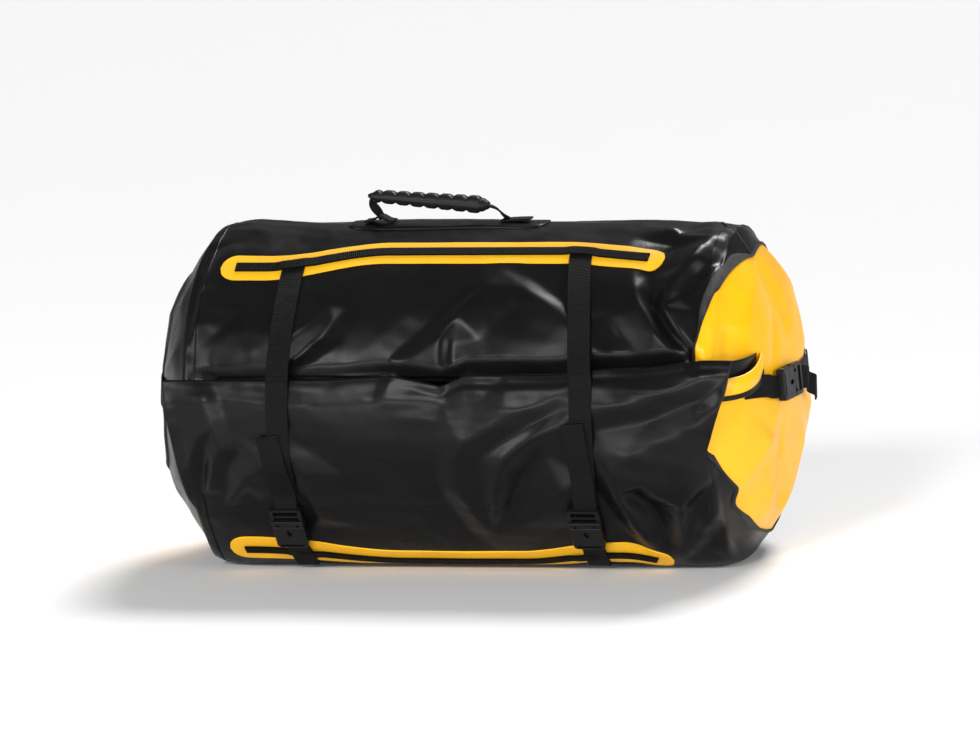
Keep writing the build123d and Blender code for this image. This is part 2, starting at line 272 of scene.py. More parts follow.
def facet_heights():
    """The cloth's heights on an even grid of (x, arc): flat facets between the creases, a little rounded."""
    low_arc, high_arc = (RADIUS * radians(a) for a in FACET_ANGLES)
    points, heights, edges = facet_corners(low_arc, high_arc)
    corners, _, triangles, origins, _, _ = delaunay_2d_cdt(points, edges, [], 0, 1e-4)
    values = [np.mean([heights[k] for k in found]) if found else 0.0 for found in origins]
    across = np.arange(-FACET_HALF, FACET_HALF + CELL / 2, CELL)
    around = np.arange(low_arc, high_arc + CELL, CELL)
    grid = np.zeros((len(across), len(around)))
    for triangle in triangles:
        (ax, ay), (bx, by), (cx, cy) = (corners[k] for k in triangle)
        i0, i1 = np.searchsorted(across, (min(ax, bx, cx) - 1, max(ax, bx, cx) + 1))
        j0, j1 = np.searchsorted(around, (min(ay, by, cy) - 1, max(ay, by, cy) + 1))
        gx, gy = np.meshgrid(across[i0:i1], around[j0:j1], indexing="ij")
        whole = (bx - ax) * (cy - ay) - (cx - ax) * (by - ay)
        u = ((bx - gx) * (cy - gy) - (cx - gx) * (by - gy)) / whole
        v = ((cx - gx) * (ay - gy) - (ax - gx) * (cy - gy)) / whole
        w = 1 - u - v
        inside = (u > -1e-6) & (v > -1e-6) & (w > -1e-6)
        level = u * values[triangle[0]] + v * values[triangle[1]] + w * values[triangle[2]]
        grid[i0:i1, j0:j1] = np.where(inside, level, grid[i0:i1, j0:j1])
    reach = 4
    kernel = np.exp(-0.5 * (np.arange(-reach, reach + 1) / CREASE_SOFTNESS) ** 2)
    kernel /= kernel.sum()

    def soften(row):
        return np.convolve(np.pad(row, reach, "edge"), kernel, "valid")

    for axis in (0, 1):
        grid = np.apply_along_axis(soften, axis, grid)
    return grid


FACETS = facet_heights()


def facets(x, angle):
    x, angle = np.broadcast_arrays(np.asarray(x, float), np.asarray(angle, float))
    u = np.clip((x + FACET_HALF) / CELL, 0, FACETS.shape[0] - 1.001)
    v = np.clip(RADIUS * np.radians(angle - FACET_ANGLES[0]) / CELL, 0, FACETS.shape[1] - 1.001)
    i, j = u.astype(int), v.astype(int)
    du, dv = u - i, v - j
    near = FACETS[i, j] * (1 - dv) + FACETS[i, j + 1] * dv
    far = FACETS[i + 1, j] * (1 - dv) + FACETS[i + 1, j + 1] * dv
    return near * (1 - du) + far * du


def rim_taper(x):
    return -RIM_TAPER * np.clip((np.abs(x) - RIM_TAPER_START) / (RIM - RIM_TAPER_START), 0, 1) ** 2


def sag(angle):
    """The filled sack bulges just above the ground, in front and behind."""
    return 5.5 * (np.exp(-(((angle + 60) / 13) ** 2)) + np.exp(-(((angle - 240) / 13) ** 2)))


def cloth(x, angle):
    """Creases and slow waves of the cloth."""
    x, angle = np.asarray(x, float), np.asarray(angle, float)
    arc = RADIUS * np.radians(angle)
    calm = 0.5 + 0.5 * between(np.abs(x), 120, 270)
    height = facets(x, angle) + (1.5 * waves(x, arc, 150, 3, 1.6) + 0.7 * waves(x, arc, 62, 5, 1.3)) * calm
    height = height + 0.25 * waves(x, arc, 24, 8) * calm
    on_strip = 1 - between(np.abs(x - STRIP_X), STRIP_HALF + 2, STRIP_HALF + 22)
    for which in ("upper", "lower"):
        height = height * (1 - 0.85 * on_strip * np.exp(-(((angle - strip_line(which, x)) / 7.0) ** 2)))
    under = between(-angle, 62, 76) * between(angle, -118, -104)
    return np.clip(height * (1 - 0.85 * under), -14, 12)


def relief(x, angle):
    """Height of the tube's cloth above its nominal skin."""
    return rim_taper(x) + cloth(x, angle) + sag(np.asarray(angle, float)) - groove(x, angle)


def groove(x, angle):
    """Depth of the hollow just behind the closure's top edge, deeper from the middle to the right."""
    x, crest = np.asarray(x, float), crest_angle(x)
    deep = 4.0 + 8.0 * between(x, -130, 0)
    inside = between(angle, 6, 12) * (1 - between(angle, crest + 0.8, crest + 5.0 + between(x, -130, 0)))
    return deep * inside * (1 - between(np.abs(x), 258, 280))


def crest_angle(x):
    """Angle of the closure's top edge, which climbs to the right, with a dip left of the middle."""
    x = np.asarray(x, float)
    dip = 3.4 * np.clip(1 - np.where(x < -2, (-2 - x) / 55, (x + 2) / 26), 0, 1)
    return 13.6 + 1.6 * between(x, -150, -30) + 2.0 * between(x, 110, 180) + 2.4 * between(x, 200, 290) - dip


def flap_lift(x, angle):
    """Height of the closure's outer cloth above the tube's nominal skin, before its folds."""
    crest = crest_angle(x)
    foot = -1.4 + 3.4 * between(angle, FLAP_FOOT, HINGE_ANGLE - 4)
    rise = FLAP_LIFT * smooth((angle - HINGE_ANGLE + 3) / (crest - 4 - HINGE_ANGLE))
    return foot + rise - 6.5 * np.clip((angle - crest + 12) / 12, 0, 1) ** 2


def front_height(x, angle):
    """Height of the outermost cloth above the tube's nominal skin."""
    angle = np.asarray(angle, float)
    flap = flap_lift(x, angle) + flap_relief(x, angle)
    on_flap = (angle > FLAP_FOOT) & (angle < crest_angle(x))
    return np.where(on_flap, np.maximum(flap, relief(x, angle)), relief(x, angle))


def flap_relief(x, angle):
    """The closure's own folds: the tube's below the hinge line, and creases along the crest."""
    x = np.asarray(x, float)
    arc = RADIUS * np.radians(angle)
    up = between(angle, -14, 10)
    along_crest = 0.6 * waves(x, arc, 46, 21, 4.0) + 0.3 * waves(x, arc, 17, 22, 5.0)
    tuck = np.exp(-(((arc - RADIUS * np.radians(crest_angle(x) - 3)) / 4) ** 2)) * between(x, -60, -10)
    return (rim_taper(x) + sag(angle)) * (1 - up) + cloth(x, angle) + (along_crest - 0.8 * tuck) * up


def on_tube(x, angle, height):
    """The point, in metres, at a place on the tube. The underside is flat on the ground."""
    x, a = np.asarray(x, float), np.radians(np.asarray(angle, float))
    r = RADIUS + np.asarray(height, float)
    y, z = -r * np.cos(a), AXIS_HEIGHT + r * np.sin(a)
    settle = 5.0
    z = np.where(z < settle, np.maximum(0.4, settle * np.exp((z - settle) / settle)), z)
    return np.stack(np.broadcast_arrays(x, y, z), -1) * MM


def end_profile(reach):
    """(x, radius) of the right end's cloth at a reach from its middle, round the rim and on to the tube."""
    reach = np.asarray(reach, float)
    r = np.minimum(reach, RIM_REACH)
    dome = DOME_MIDDLE + np.sqrt(DOME_RADIUS**2 - r**2)
    settle = dome - (dome_at_rim() - RIM) * between(r, 0.72 * RIM_REACH, RIM_REACH)
    past = np.maximum(reach - RIM_REACH, 0)
    x = settle - past
    radius = r + RIM_TAPER * (1 - np.clip((x - RIM_TAPER_START) / (RIM - RIM_TAPER_START), 0, 1) ** 2)
    return x, np.where(past > 0, radius, r)


def dome_at_rim():
    return DOME_MIDDLE + sqrt(DOME_RADIUS**2 - RIM_REACH**2)


END_DEPTH = 1.25  # multiplies the heights of the folds below
END_STRAP_LINE = 21.0  # height of the end straps above the axis
END_FOLDS = {  # each end's folds: (reach, angle) points, height, and width on the left and right
    "right": [
        ([(153, 80), (141, 54), (136, 30)], 3.8, 16, 20),
        ([(165, 36), (158, 18)], -4.0, 14, 14),
        ([(104, 70), (88, 40), (92, 10)], -2.4, 14, 14),
        ([(66, -4), (86, -49), (133, -91)], -3.4, 7, 9),
        ([(152, -31), (120, -26), (88, -16)], 3.8, 7, 20),
        ([(110, -50), (132, -66)], 3.0, 12, 14),
        ([(30, -110), (90, -100), (140, -88)], 3.4, 16, 16),
        ([(30, 140), (90, 130), (160, 128)], 3.0, 20, 20),
        ([(20, 190), (90, 200), (160, 205)], 3.2, 18, 24),
        ([(60, 88), (110, 80), (150, 74)], -2.4, 16, 16),
    ],
    "left": [
        ([(20, 70), (90, 60), (150, 48)], 3.0, 20, 24),
        ([(30, 20), (100, 14), (165, 26)], 3.4, 16, 18),
        ([(40, -50), (95, -40), (150, -44)], 4.0, 15, 24),
        ([(50, 120), (100, 126), (150, 118)], 3.0, 16, 20),
        ([(20, 190), (90, 180), (160, 188)], 3.2, 18, 22),
        ([(30, 250), (90, 240), (150, 236)], 3.0, 16, 18),
    ],
}


def end_relief(side, reach, angle):
    """Height of an end's cloth: folds that run from its middle to its rim."""
    a = np.radians(angle)
    u, v = reach * np.cos(a), reach * np.sin(a)
    total = np.zeros(np.shape(reach + a))
    for points, height, left_width, right_width in END_FOLDS[side]:
        flat = [(r * cos(radians(t)), r * sin(radians(t))) for r, t in points]
        total = total + END_DEPTH * fold_height(u, v, flat, height, left_width, right_width)
    seed = 31 + SIDES[side]
    total = total + 1.6 * waves(u, v, 120, seed) + 0.6 * waves(u, v, 46, seed + 2)
    under_strap = np.exp(-(((v - END_STRAP_LINE) / 21) ** 4)) * between(u, -160, -140)
    return total * (1 - between(reach, RIM_REACH - 24, RIM_REACH - 1)) * (1 - 0.9 * under_strap)


def on_end(side, reach, angle, height):
    """The point, in metres, at a place on an end's cloth."""
    reach, angle = np.broadcast_arrays(np.asarray(reach, float), np.asarray(angle, float))
    x, r = end_profile(reach)
    lift = np.asarray(height, float) + end_relief(side, reach, angle)
    ahead = np.clip(np.sqrt(np.maximum(DOME_RADIUS**2 - r**2, 0)) / DOME_RADIUS, 0, 1)
    ahead = ahead * (reach <= RIM_REACH)
    x, r = x + lift * ahead, r + lift * np.sqrt(1 - ahead**2)
    r = r + between(reach, RIM_REACH - 6, RIM_REACH + 4) * relief_share(side, x, angle)
    a = np.radians(angle)
    y, z = -r * np.cos(a), AXIS_HEIGHT + r * np.sin(a)
    z = np.maximum(z, 0.4)
    return np.stack([SIDES[side] * x, y, z], -1) * MM


def relief_share(side, x, angle):
    """The tube's folds where an end's cloth lies over the tube."""
    turned = np.where(angle > FACET_ANGLES[1], angle - 360, angle)
    place = SIDES[side] * np.minimum(x, RIM)
    return relief(place, turned) - rim_taper(place)


# ---------------------------------------------------------------- mesh building
def link_new(name, data):
    obj = bpy.data.objects.new(name, data)
    bpy.context.scene.collection.objects.link(obj)
    return obj


def new_object(name, points, faces, material, uvs=None, sharp=40):
    """A smooth-shaded mesh, with an edge sharp where its faces turn by more than that many degrees."""
    mesh = bpy.data.meshes.new(name)
    mesh.from_pydata([tuple(p) for p in np.asarray(points).reshape(-1, 3)], [], faces)
    if uvs is not None:
        layer = mesh.uv_layers.new(name="cloth")
        loops = np.zeros(len(mesh.loops), np.int32)
        mesh.loops.foreach_get("vertex_index", loops)
        layer.data.foreach_set("uv", np.asarray(uvs, np.float32).reshape(-1, 2)[loops].ravel())
    mesh.validate()
    obj = link_new(name, mesh)
    mesh.materials.append(material)
    mesh.shade_smooth()
    mesh.set_sharp_from_angle(angle=radians(sharp))
    return obj


def grid_faces(rows, columns, wrap=False, keep=None):
    faces = []
    for i in range(rows - 1):
        for j in range(columns if wrap else columns - 1):
            if keep is None or keep[i, j]:
                k = (j + 1) % columns
                here, ahead = i * columns, (i + 1) * columns
                faces.append((here + j, here + k, ahead + k, ahead + j))
    return faces


def thicken(obj, thickness, offset=-1.0):
    solid = obj.modifiers.new("thickness", "SOLIDIFY")
    solid.thickness = thickness * MM
    solid.offset = offset
    solid.use_even_offset = False


def flip(obj):
    obj.data.flip_normals()
    return obj


def place(obj, slot, body, *nodes):
    """Hangs a piece on the body it rides on and hides the CAD nodes it stands for. The slot it shows is not
    used.
    """
    if nodes:
        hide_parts(*nodes)
    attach(obj, body)


def unit(vectors):
    return vectors / np.linalg.norm(vectors, axis=1)[:, None]


def ribbon(name, points, normals, width, thickness, material):
    """A strap: a flat section with rounded edges, swept along the points. Its UVs are in metres."""
    points, normals = np.asarray(points, float), np.asarray(normals, float)
    tangents = unit(np.gradient(points, axis=0))
    across = unit(np.cross(normals, tangents))
    up = np.cross(tangents, across)
    half, thick = width * MM / 2, thickness * MM / 2
    soft = 0.35 * thick
    section = [(-half, -thick + soft), (-half + soft, -thick), (0, -thick), (half - soft, -thick),
               (half, -thick + soft), (half, thick - soft), (half - soft, thick), (0, thick),
               (-half + soft, thick), (-half, thick - soft)]
    length = np.concatenate([[0], np.cumsum(np.linalg.norm(np.diff(points, axis=0), axis=1))])
    rows = [points + a * across + b * up for a, b in section]
    cloud = np.stack(rows, 1)
    uvs = np.stack([np.stack([length, np.full(len(length), a)], -1) for a, _ in section], 1)
    n, m = len(points), len(section)
    faces = grid_faces(n, m, wrap=True)
    faces += [tuple(range(m))[::-1], tuple((n - 1) * m + k for k in range(m))]
    return new_object(name, cloud, faces, material, uvs)


def round_corners(stations):
    """The stations with their corners cut three times over."""
    path = np.array(stations, float)
    for _ in range(3):
        inner = np.stack([0.75 * path[:-1] + 0.25 * path[1:], 0.25 * path[:-1] + 0.75 * path[1:]], 1)
        path = np.concatenate([path[:1], inner.reshape(-1, 3), path[-1:]])
    return path


def spread_evenly(path, gaps, step):
    """The path's three coordinates at even steps, where gaps are the distances between its points."""
    length = np.concatenate([[0], np.cumsum(gaps)])
    even = np.linspace(0, length[-1], max(8, int(length[-1] / step)))
    return [np.interp(even, length, path[:, k]) for k in range(3)]


def along_tube(stations):
    """The middle line, normals and angles of a strap that goes through (x, angle, height) stations."""
    path = round_corners(stations)
    gaps = np.hypot(np.diff(path[:, 0]), RADIUS * np.radians(np.diff(path[:, 1])))
    x, angle, height = spread_evenly(path, gaps, 3.0)
    points = on_tube(x, angle, height)
    return points, unit(on_tube(x, angle, height + 1) - points), angle


# ---------------------------------------------------------------- materials
class Look:
    """A small builder for a node material."""

    def __init__(self, name, color, roughness, **sockets):
        self.material = bpy.data.materials.new(name)
        self.material.use_nodes = True
        self.nodes = self.material.node_tree.nodes
        self.links = self.material.node_tree.links
        self.shader = self.nodes["Principled BSDF"]
        self.shader.inputs["Base Color"].default_value = (*color, 1)
        self.shader.inputs["Roughness"].default_value = roughness
        for socket, value in sockets.items():
            self.shader.inputs[socket.replace("_", " ")].default_value = value
        self.normal = None
        self.places = self.add("ShaderNodeTexCoord").outputs

    def add(self, kind, **settings):
        node = self.nodes.new(kind)
        for key, value in settings.items():
            if key in node.inputs:
                node.inputs[key].default_value = value
            else:
                setattr(node, key, value)
        return node

    def noise(self, size, detail):
        """Noise with features of about that size in millimetres."""
        node = self.add("ShaderNodeTexNoise", Scale=1 / (size * MM), Detail=detail)
        self.links.new(self.places["Object"], node.inputs["Vector"])
        return node.outputs[0]

    def ramp(self, source, low, high, start=0.3, end=0.7):
        """The source spread over low to high as it goes from start to end."""
        node = self.add("ShaderNodeMapRange")
        node.inputs["From Min"].default_value = start
        node.inputs["From Max"].default_value = end
        node.inputs["To Min"].default_value = low
        node.inputs["To Max"].default_value = high
        self.links.new(source, node.inputs["Value"])
        return node.outputs[0]

    def vary_roughness(self, source, low, high):
        self.links.new(self.ramp(source, low, high), self.shader.inputs["Roughness"])

    def vary_color(self, source, first, second, start=0.3, end=0.7):
        node = self.add("ShaderNodeMix", data_type="RGBA")
        node.inputs[6].default_value = (*first, 1)
        node.inputs[7].default_value = (*second, 1)
        self.links.new(self.ramp(source, 0, 1, start, end), node.inputs[0])
        self.links.new(node.outputs[2], self.shader.inputs["Base Color"])

    def math(self, operation, *values):
        node = self.add("ShaderNodeMath", operation=operation)
        for socket, value in zip(node.inputs, values):
            if isinstance(value, (int, float)):
                socket.default_value = value
            else:
                self.links.new(value, socket)
        return node.outputs[0]

    def yarns(self, pitch):
        """Waves with that pitch in millimetres along the piece's UVs, and across them."""
        node = self.add("ShaderNodeSeparateXYZ")
        self.links.new(self.places["UV"], node.inputs[0])
        pace = 2 * pi / (pitch * MM)
        return [self.math("SINE", self.math("MULTIPLY", way, pace)) for way in node.outputs[:2]]

    def bump(self, source, distance):
        """Adds a bump of that height in millimetres."""
        node = self.add("ShaderNodeBump", Strength=1.0, Distance=distance * MM)
        self.links.new(source, node.inputs["Height"])
        if self.normal is not None:
            self.links.new(self.normal, node.inputs["Normal"])
        self.normal = node.outputs[0]
        self.links.new(self.normal, self.shader.inputs["Normal"])


def tarpaulin(name, color, other, roughness, weave_height, specular):
    """Coated cloth, with the grid of its woven scrim showing a little through the coating."""
    look = Look(name, color, roughness, Specular_IOR_Level=specular)
    look.vary_color(look.noise(60, 4), color, other)
    look.vary_roughness(look.noise(35, 5), roughness - 0.05, roughness + 0.07)
    look.bump(look.noise(0.9, 2), 0.02)
    look.bump(look.noise(9, 3), 0.10)
    look.bump(look.math("MULTIPLY", *look.yarns(1.1)), weave_height)
    return look.material


def webbing_look(name, color, other, specular):
    """Ribbed webbing: ribs across the strap, with finer yarns along it."""
    look = Look(name, color, 0.6, Specular_IOR_Level=specular)
    ribs = look.math("ABSOLUTE", look.yarns(4.2)[0])
    yarns = look.math("ABSOLUTE", look.yarns(3.0)[1])
    twill = look.math("MULTIPLY", ribs, look.math("ADD", 0.6, look.math("MULTIPLY", yarns, 0.4)))
    look.vary_color(twill, color, other, 0.1, 0.95)
    look.bump(twill, 0.42)
    look.bump(look.noise(0.6, 2), 0.05)
    return look.material


def moulded(name, color, roughness, grain, depth):
    """A moulded surface, with a grain of that size and depth in millimetres."""
    look = Look(name, color, roughness, Specular_IOR_Level=0.2)
    look.vary_roughness(look.noise(8, 4), roughness - 0.05, roughness + 0.08)
    look.vary_color(look.noise(14, 3), color, tuple(1.25 * c for c in color))
    look.bump(look.noise(grain, 2), depth)
    return look.material


def gray(level):
    return (level, level, level)


BLACK = tarpaulin("tarpaulin_black", (0.0040, 0.0040, 0.0045), (0.0062, 0.0062, 0.0066), 0.30, 0.012, 0.14)
YELLOW = tarpaulin("tarpaulin_yellow", (0.90, 0.43, 0.002), (0.95, 0.49, 0.003), 0.36, 0.012, 0.35)
STRIP_YELLOW = tarpaulin("strip_yellow", (0.84, 0.42, 0.006), (0.9, 0.48, 0.008), 0.5, 0.02, 0.35)
SCRIM = tarpaulin("scrim_tape", (0.008, 0.008, 0.009), (0.03, 0.03, 0.032), 0.5, 0.25, 0.3)
WEB = webbing_look("webbing_black", gray(0.0016), (0.006, 0.0058, 0.0058), 0.1)
RAIL_WEB = webbing_look("rail_webbing_black", gray(0.0012), (0.004, 0.0039, 0.0039), 0.06)
RUBBER = moulded("grip_rubber", (0.008, 0.008, 0.009), 0.42, 0.7, 0.03)
PLASTIC = moulded("buckle_plastic", (0.0045, 0.0045, 0.005), 0.34, 0.4, 0.012)
STIFFENER = moulded("stiffener_plastic", (0.20, 0.20, 0.19), 0.5, 0.5, 0.02)


# ---------------------------------------------------------------- the tube
def make_tube():
    """The tube's cloth, with the mouth's slot, a little sunk where the closure covers it."""
    rows, columns = 250, 420
    x = np.linspace(-RIM, RIM, rows)[:, None] * np.ones(columns)
    angle = np.linspace(*FACET_ANGLES, columns, endpoint=False) * np.ones((rows, 1))
    under_flap = between(angle, FLAP_FOOT + 2, FLAP_FOOT + 14) * (1 - between(angle, 8.0, 12.0))
    height = relief(x, angle) - under_flap * 2.4
    points = on_tube(x, angle, height)
    open_x = np.abs(x[:-1]) < MOUTH_HALF
    open_angle = (angle[:-1] > MOUTH[0]) & (angle[:-1] < MOUTH[1])
    uvs = np.stack([x * MM, RADIUS * MM * np.radians(angle)], -1)
    faces = grid_faces(rows, columns, wrap=True, keep=~(open_x & open_angle))
    tube = flip(new_object("tube_cloth", points, faces, BLACK, uvs, 60))
    thicken(tube, CLOTH)
    place(tube, "tarpaulin_black", "root", "tube_skin")


FLAP_RIGHT_EDGE = [(-36, 278), (-9, 279), (0, 290), (9, 301), (20, 308)]  # angle and x
FLAP_LEFT_EDGE = [(-36, -283), (-22, -288), (-9, -294), (5, -298), (14, -302)]
FLAP_INNER = 11  # degrees that the flap reaches back down behind its crest


def flap_row(angle, top, reach, sunk):
    """One line across the flap, sunk below its outer face by that much."""
    right = np.interp(angle, *zip(*FLAP_RIGHT_EDGE))
    left = np.interp(angle, *zip(*FLAP_LEFT_EDGE))
    x = (right + left) / 2 + reach * (right - left) / 2
    outer = flap_lift(x, np.minimum(angle, top)) + flap_relief(x, np.minimum(angle, top))
    return on_tube(x, angle, outer - sunk)


def make_flap():
    """The closure's cloth: up the front of the sack, over the crest, and back down behind it."""
    columns = 300
    reach = np.linspace(-1, 1, columns)
    crest_half = np.degrees(CREST_RADIUS / RADIUS)
    top = crest_angle(reach * ROLL_HALF) - crest_half
    rows = []
    for share in np.linspace(0, 1, 96):
        rows.append(flap_row(FLAP_FOOT + (top - FLAP_FOOT) * share, top, reach, 0))
    for turn in np.radians(np.linspace(90, -90, 11))[1:]:
        rows.append(flap_row(top + crest_half * cos(turn), top, reach, CREST_RADIUS * (1 - sin(turn))))
    for share in np.linspace(0, 1, 14)[1:]:
        rows.append(flap_row(top - share * FLAP_INNER, top, reach, 2 * CREST_RADIUS))
    points = np.stack(rows)
    gaps = np.linalg.norm(np.diff(points[:, columns // 2], axis=0), axis=1)
    length = np.concatenate([[0], np.cumsum(gaps)])
    uvs = np.stack([points[..., 0], length[:, None] * np.ones(columns)], -1)
    flap = new_object("closure_cloth", points, grid_faces(len(rows), columns), BLACK, uvs, 60)
    thicken(flap, CLOTH)
    fold_with_closure(flap)
    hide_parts("closure_flap")


def fold_with_closure(obj):
    """Bakes a piece's placement into its mesh. The line that the closure opens about is worked out, but the
    piece is not bent across it.
    """
    low, high = on_tube(0, HINGE_ANGLE - 5, 2), on_tube(0, HINGE_ANGLE + 5, 4)
    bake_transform(obj)


ROLL_ENDS = (-293, 287)  # along x, inside the flap's edges
ROLL_BELOW_CREST = 8.2  # degrees from the closure's crest to the roll's middle
ROLL_DEPTH = 5.2  # of the roll's middle under the flap's outer face


def make_roll():
    """The lips of the mouth, rolled up flat inside the flap: three turns round the stiffeners."""
    turns, per_turn, pitch, rows_along = 3.0, 40, 1.9, 100
    count = int(turns * per_turn)
    t = np.linspace(0, turns * 2 * pi, count)
    half_high, half_wide = 0.5 + 0.9 * t / (2 * pi), 15 + pitch * t / (2 * pi)
    squash = np.sign(np.cos(t)) * np.abs(np.cos(t)) ** 0.8
    rows = []
    for x in np.linspace(*ROLL_ENDS, rows_along):
        centre = float(crest_angle(x)) - ROLL_BELOW_CREST
        angle = centre + np.degrees(half_wide * squash / RADIUS)
        outer = flap_lift(x, angle) + flap_relief(x, angle)
        rows.append(on_tube(x, angle, outer - ROLL_DEPTH + half_high * np.sin(t)))
    roll = new_object("rolled_lips", np.stack(rows), grid_faces(rows_along, count), BLACK, None, 60)
    thicken(roll, 0.8, 0.0)
    place(roll, "tarpaulin_black", "closure", "closure_roll", "roll_stiffener_inner", "roll_stiffener_outer")


def make_hem():
    """The strip that stiffens the mouth's upper edge, just under the tube's cloth."""
    rows, columns = 120, 8
    x = np.linspace(-MOUTH_HALF - 4, MOUTH_HALF + 4, rows)[:, None] * np.ones(columns)
    angle = np.linspace(MOUTH[1] - 1, MOUTH[1] + 5, columns) * np.ones((rows, 1))
    points = on_tube(x, angle, relief(x, angle) - CLOTH - 0.4)
    hem = flip(new_object("mouth_edge", points, grid_faces(rows, columns), BLACK, None, 60))
    thicken(hem, 1.0)
    place(hem, "tarpaulin_black", "root", "mouth_hem")


def make_corner_seam_painted_highlight():
    """The thin welded line that runs over the rim to the yellow panel's top corner, drawn in the lighter
    scrim colour as a painted highlight along the seam.
    """
    share = np.linspace(0, 1, 40)
    reach = 150 + 44 * share
    angle = 81.5 + 2 * share + 8 * share**3
    points = on_end("right", reach, angle, 0.9)
    normals = unit(on_end("right", reach, angle, 2.0) - points)
    # The scrim colour is lighter than the black cloth: painted highlight along the welded seam.
    seam = ribbon("corner_seam_painted_highlight", points, normals, 2.0, 1.2, SCRIM)
    place(seam, "scrim_tape", "root")


# ---------------------------------------------------------------- the ends
# Angle and reach of the yellow panel's edge. It comes round to the front on the right, not on the left.
YELLOW_REACH = {
    "right": [(-90, 143), (-74, 143), (-50, 148), (-37, 159), (-34, 157), (-31, 151), (-18, 168), (-9, 178),
              (-5, 190), (21, 193), (43, 178), (62, 164), (81, 150), (95, 153), (122, 165), (150, 160),
              (180, 150), (270, 144)],
    "left": [(-90, 144), (-66, 120), (-45, 98), (-20, 94), (15, 95), (28, 110), (50, 117), (70, 134),
             (90, 142), (120, 146), (270, 144)],
}


def yellow_reach(side, angle):
    """Reach of the yellow panel's edge, its corners a little rounded."""
    around, reach = zip(*YELLOW_REACH[side])
    spread = [np.interp(angle + turn, around, reach, period=360) for turn in (-2, -1, 0, 1, 2)]
    return np.mean(spread, axis=0)


def ring_angles(columns):
    return np.linspace(-90, 270, columns, endpoint=False)


def squarish_ring(columns, power):
    """A ring of points between a circle and a square, squarer for a higher power."""
    around = np.linspace(0, 2 * pi, columns, endpoint=False)
    c, s = np.cos(around), np.sin(around)
    round_off = (np.abs(c) ** power + np.abs(s) ** power) ** (-1 / power)
    return c * round_off, s * round_off


def make_yellow_panel(side):
    columns, rows = 300, 90
    angle = ring_angles(columns) * np.ones((rows, 1))
    share = np.linspace(0.004, 1, rows)[:, None] ** 0.8
    reach = share * yellow_reach(side, angle)
    on_rim = between(reach, RIM_REACH - 4, RIM_REACH + 4)
    points = on_end(side, reach, angle, 1.0 + 1.2 * on_rim)
    faces = grid_faces(rows, columns, wrap=True) + [tuple(range(columns))]
    panel = new_object("end_panel_" + side, points, faces, YELLOW, points[..., 1:], 60)
    orient(panel, side)
    thicken(panel, CLOTH)
    place(panel, "tarpaulin_yellow", "root", "end_disc_" + side)


def make_black_margin(side):
    """The black cloth from under the yellow panel's edge, over the rim and on to the tube."""
    columns, rows = 300, 40
    angle = ring_angles(columns) * np.ones((rows, 1))
    start = np.minimum(yellow_reach(side, angle) - 3, RIM_REACH + 5)
    reach = start + (RIM_REACH + 11 - start) * np.linspace(0, 1, rows)[:, None]
    points = on_end(side, reach, angle, 0.8)
    faces = grid_faces(rows, columns, wrap=True)
    margin = new_object("end_margin_cloth_" + side, points, faces, BLACK, points[..., 1:], 60)
    orient(margin, side)
    thicken(margin, CLOTH)
    place(margin, "tarpaulin_black", "root", "end_margin_" + side, "seam_tape_" + side)


def orient(obj, side):
    """Turns an end's faces outwards."""
    if SIDES[side] < 0:
        flip(obj)
    centre = Vector((0, 0, AXIS_HEIGHT * MM))
    total = sum((p.center - centre).dot(p.normal) * p.area for p in obj.data.polygons)
    if total < 0:
        flip(obj)


def make_end_flange(side):
    """The coated-scrim flange that is welded round the yellow panel's edge."""
    columns = 320
    angle = ring_angles(columns)
    edge = yellow_reach(side, angle)
    wide = 2.2 + 6.5 * between(angle, 27, 42) * (1 - between(angle, 66, 82))
    wide = wide + 5 * np.exp(-(((angle + 54) / 8) ** 2)) + 0.5 * waves(angle * 3, angle, 60, 4)
    profile = [(-1.0, 0.8), (-0.9, 2.8), (0.0, 3.2), (0.45, 2.9), (0.8, 2.4), (1.0, 0.6)]
    rows = []
    for across, height in profile:
        reach = edge + across * (0.8 if across < 0 else wide)
        rows.append(on_end(side, reach, angle, height + 1.3 * between(reach, RIM_REACH - 8, RIM_REACH + 2)))
    points = np.stack(rows)
    length = np.cumsum(np.linalg.norm(np.diff(points[0], axis=0, prepend=points[0][-1:]), axis=1))
    across = np.array([p[0] for p in profile])[:, None] * 9 * MM
    uvs = np.stack([length * np.ones((len(profile), 1)), across * np.ones(columns)], -1)
    faces = grid_faces(len(profile), columns, wrap=True)
    flange = new_object("end_flange_" + side, points, faces, SCRIM, uvs, 60)
    orient(flange, side)
    place(flange, "scrim_tape", "root", "disc_seam_" + side)


# ---------------------------------------------------------------- lash strips and rails
def strip_line(which, x):
    """Angle of a lash strip's middle line, which wanders with the cloth that it is welded to."""
    x = np.asarray(x, float)
    if which == "upper":
        return 63.2 - 7.8 * (1 - between(x, -205, -75)) - 3.4 * between(x, 110, 215)
    dip = 7.0 * between(x, -225, -60) - 4.5 * between(x, 60, 150) + 4.5 * between(x, 170, 225)
    return -52.0 - dip


def make_strip(which):
    """A yellow strip with round ends and a pressed edge."""
    rows, columns = 200, 21
    share = np.sin(np.linspace(-pi / 2, pi / 2, rows)) * 0.15 + np.linspace(-1, 1, rows) * 0.85
    half = 18.0
    x = STRIP_X + share * STRIP_HALF
    past = np.clip((np.abs(share) * STRIP_HALF - (STRIP_HALF - half)) / half, 0, 1)
    width = np.maximum(half * np.sqrt(1 - past**2), 0.25)
    border = np.array([-1.0, *np.linspace(-0.985, 0.985, columns - 2), 1.0])
    angle = strip_line(which, x)[:, None] + np.degrees(width[:, None] * border / RADIUS)
    x = x[:, None] * np.ones(columns)
    height = front_height(x, angle) + 1.3
    height[:, [0, -1]] -= 1.6
    points = on_tube(x, angle, height)
    uvs = np.stack([x * MM, RADIUS * MM * np.radians(angle)], -1)
    faces = grid_faces(rows, columns)
    strip = flip(new_object("yellow_strip_" + which, points, faces, STRIP_YELLOW, uvs, 50))
    place(strip, "yellow_strip", "root", "lash_strip_" + which)


